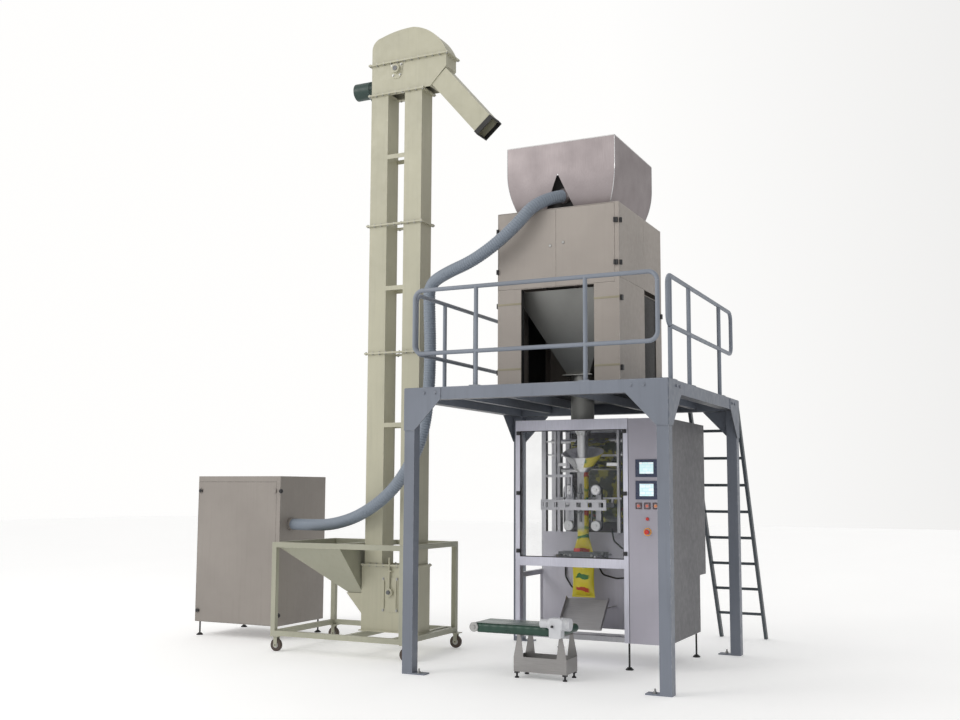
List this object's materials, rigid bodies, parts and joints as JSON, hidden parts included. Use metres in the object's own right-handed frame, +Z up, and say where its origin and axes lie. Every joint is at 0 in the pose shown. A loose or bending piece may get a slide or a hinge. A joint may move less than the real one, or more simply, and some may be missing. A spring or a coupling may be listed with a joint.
{
  "type": "vertical form fill sealer",
  "caption": "Bagging line: bucket elevator, supply hopper and weigher on a railed platform over a vertical form fill seal machine, with dust cabinet and hose.",
  "frame": {"origin": "on the floor at the centre of the line's outline", "axes": "+Z up and longest, -Y towards the operator's side, +X from the elevator towards the bagging machine"},
  "size_m": [5.741, 3.798, 6.3415],
  "materials": {
    "blue_grey_paint": "satin",
    "cream_paint": "satin",
    "beige_paint": "satin",
    "hopper_steel": "brushed",
    "stainless": "brushed",
    "lilac_paint": "satin",
    "aluminium": "satin",
    "dark_steel": "satin",
    "black_plastic": "matte",
    "screen": "gloss",
    "green_plastic": "gloss",
    "red_plastic": "gloss",
    "amber_plastic": "gloss",
    "glass": "clear",
    "film": "gloss",
    "green_belt": "matte",
    "rubber": "matte",
    "motor_green": "satin",
    "motor_white": "satin",
    "hose_plastic": "satin",
    "caster_brown": "satin"
  },
  "bodies": {
    "frame": {"platform_frame": "blue_grey_paint", "deck_plate": "blue_grey_paint", "guard_rails": "blue_grey_paint", "access_ladder": "blue_grey_paint", "weigher_cabinet": "beige_paint", "cabinet_hinges": "black_plastic", "supply_hopper": "hopper_steel", "weigh_buckets": "stainless", "collecting_funnel": "stainless", "machine_frame": "aluminium", "machine_panels": "lilac_paint", "electrical_cabinet": "lilac_paint", "forming_tube": "stainless", "forming_collar": "stainless", "film_rollers": "aluminium", "film_web": "film", "filled_bag": "film", "belt_carrier": "aluminium", "bag_chute": "stainless", "machine_cables": "rubber", "conveyor_stand": "stainless", "conveyor_belt": "green_belt", "conveyor_motor": "motor_white", "elevator_casing": "cream_paint", "elevator_head": "cream_paint", "elevator_spout": "cream_paint", "elevator_motor": "motor_green", "bucket_belt": "rubber", "cart_frame": "cream_paint", "intake_hopper": "cream_paint", "dust_cabinet": "beige_paint", "suction_hose": "hose_plastic", "levelling_feet": "black_plastic"},
    "weigher_door_left": {"weigher_door_left": "beige_paint"},
    "weigher_door_right": {"weigher_door_right": "beige_paint"},
    "weigher_side_door": {"weigher_side_door": "beige_paint"},
    "bucket_flap_left": {"bucket_flap_left": "stainless"},
    "bucket_flap_right": {"bucket_flap_right": "stainless"},
    "control_door": {"cabinet_door": "lilac_paint", "touch_screens": "screen"},
    "button_start": {"button_start": "green_plastic"},
    "button_stop": {"button_stop": "red_plastic"},
    "button_jog": {"button_jog": "amber_plastic"},
    "emergency_stop": {"emergency_stop": "red_plastic"},
    "machine_door": {"door_frame": "aluminium", "door_window": "glass"},
    "film_roll": {"film_roll": "film"},
    "belt_unit_left": {"belt_unit_left": "aluminium"},
    "belt_unit_right": {"belt_unit_right": "aluminium"},
    "vertical_sealer": {"vertical_sealer": "dark_steel"},
    "jaw_front": {"jaw_front": "dark_steel"},
    "jaw_rear": {"jaw_rear": "dark_steel"},
    "tail_roller": {"tail_roller": "stainless"},
    "drive_roller": {"drive_roller": "stainless"},
    "head_pulley": {"head_pulley": "dark_steel"},
    "boot_pulley": {"boot_pulley": "dark_steel"},
    "caster_wheels_left": {"caster_wheels_left": "caster_brown"},
    "caster_wheels_right": {"caster_wheels_right": "caster_brown"},
    "dust_door": {"dust_door": "beige_paint"}
  },
  "joints": [
    {"name": "weigher_door_left", "type": "hinge", "parent": "frame", "child": "weigher_door_left", "pos_m": [1.009, -1.138, 3.83], "axis": [0, 0, -1], "range_deg": [0, 2]},
    {"name": "weigher_door_right", "type": "hinge", "parent": "frame", "child": "weigher_door_right", "pos_m": [2.171, -1.138, 3.83], "axis": [0, 0, 1], "range_deg": [0, 110]},
    {"name": "weigher_side_door", "type": "hinge", "parent": "frame", "child": "weigher_side_door", "pos_m": [2.22, -1.103, 3.85], "axis": [0, 0, -1], "range_deg": [0, 110]},
    {"name": "bucket_flap_left", "type": "hinge", "parent": "frame", "child": "bucket_flap_left", "pos_m": [1.253, -0.475, 3.57], "axis": [0, 1, 0], "range_deg": [0, 60], "stiffness_Nm_per_rad": 6, "springref_deg": -34.38},
    {"name": "bucket_flap_right", "type": "hinge", "parent": "frame", "child": "bucket_flap_right", "pos_m": [1.961, -0.475, 3.57], "axis": [0, -1, 0], "range_deg": [0, 60], "stiffness_Nm_per_rad": 6, "springref_deg": -34.38},
    {"name": "control_door", "type": "hinge", "parent": "frame", "child": "control_door", "pos_m": [2.536, -0.838, 1.245], "axis": [0, 0, 1], "range_deg": [0, 110]},
    {"name": "button_start", "type": "slide", "parent": "control_door", "child": "button_start", "axis": [0, 1, 0], "range_m": [0, 0.004], "stiffness_N_per_m": 800, "springref_m": -0.001},
    {"name": "button_stop", "type": "slide", "parent": "control_door", "child": "button_stop", "axis": [0, 1, 0], "range_m": [0, 0.004], "stiffness_N_per_m": 800, "springref_m": -0.001},
    {"name": "button_jog", "type": "slide", "parent": "control_door", "child": "button_jog", "axis": [0, 1, 0], "range_m": [0, 0.004], "stiffness_N_per_m": 800, "springref_m": -0.001},
    {"name": "emergency_stop", "type": "slide", "parent": "control_door", "child": "emergency_stop", "axis": [0, 1, 0], "range_m": [0, 0.006], "stiffness_N_per_m": 900, "springref_m": -0.002},
    {"name": "machine_door", "type": "hinge", "parent": "frame", "child": "machine_door", "pos_m": [2.174, -0.838, 1.245], "axis": [0, 0, 1], "range_deg": [0, 24]},
    {"name": "film_roll", "type": "hinge", "parent": "frame", "child": "film_roll", "pos_m": [1.607, 0.25, 1.43], "axis": [1, 0, 0], "continuous": true},
    {"name": "belt_unit_left", "type": "slide", "parent": "frame", "child": "belt_unit_left", "axis": [-1, 0, 0], "range_m": [0, 0.02]},
    {"name": "belt_unit_right", "type": "slide", "parent": "frame", "child": "belt_unit_right", "axis": [1, 0, 0], "range_m": [0, 0.02]},
    {"name": "vertical_sealer", "type": "slide", "parent": "frame", "child": "vertical_sealer", "axis": [0, -1, 0], "range_m": [0, 0.018]},
    {"name": "jaw_front", "type": "slide", "parent": "frame", "child": "jaw_front", "axis": [0, -1, 0], "range_m": [0, 0.06]},
    {"name": "jaw_rear", "type": "slide", "parent": "frame", "child": "jaw_rear", "axis": [0, 1, 0], "range_m": [0, 0.06]},
    {"name": "tail_roller", "type": "hinge", "parent": "frame", "child": "tail_roller", "pos_m": [1.045, -1.5, 0.416], "axis": [0, 1, 0], "continuous": true},
    {"name": "drive_roller", "type": "hinge", "parent": "frame", "child": "drive_roller", "pos_m": [1.845, -1.5, 0.416], "axis": [0, 1, 0], "continuous": true},
    {"name": "head_pulley", "type": "hinge", "parent": "frame", "child": "head_pulley", "pos_m": [-0.248, -0.81, 5.917], "axis": [0, 1, 0], "continuous": true},
    {"name": "boot_pulley", "type": "hinge", "parent": "frame", "child": "boot_pulley", "pos_m": [-0.248, -0.81, 0.593], "axis": [0, 1, 0], "continuous": true},
    {"name": "caster_wheels_left", "type": "hinge", "parent": "frame", "child": "caster_wheels_left", "pos_m": [-1.335, -0.7665, 0.062], "axis": [0, 1, 0], "continuous": true},
    {"name": "caster_wheels_right", "type": "hinge", "parent": "frame", "child": "caster_wheels_right", "pos_m": [0.14, -0.7665, 0.062], "axis": [0, 1, 0], "continuous": true},
    {"name": "dust_door", "type": "hinge", "parent": "frame", "child": "dust_door", "pos_m": [-2.861, -0.706, 0.9], "axis": [0, 0, -1], "range_deg": [0, 110]}
  ],
  "couplings": [
    {"joint": "bucket_flap_right", "follows": "bucket_flap_left", "ratio": 1},
    {"joint": "belt_unit_right", "follows": "belt_unit_left", "ratio": 1},
    {"joint": "jaw_rear", "follows": "jaw_front", "ratio": 1},
    {"joint": "tail_roller", "follows": "drive_roller", "ratio": 1},
    {"joint": "boot_pulley", "follows": "head_pulley", "ratio": 1}
  ]
}
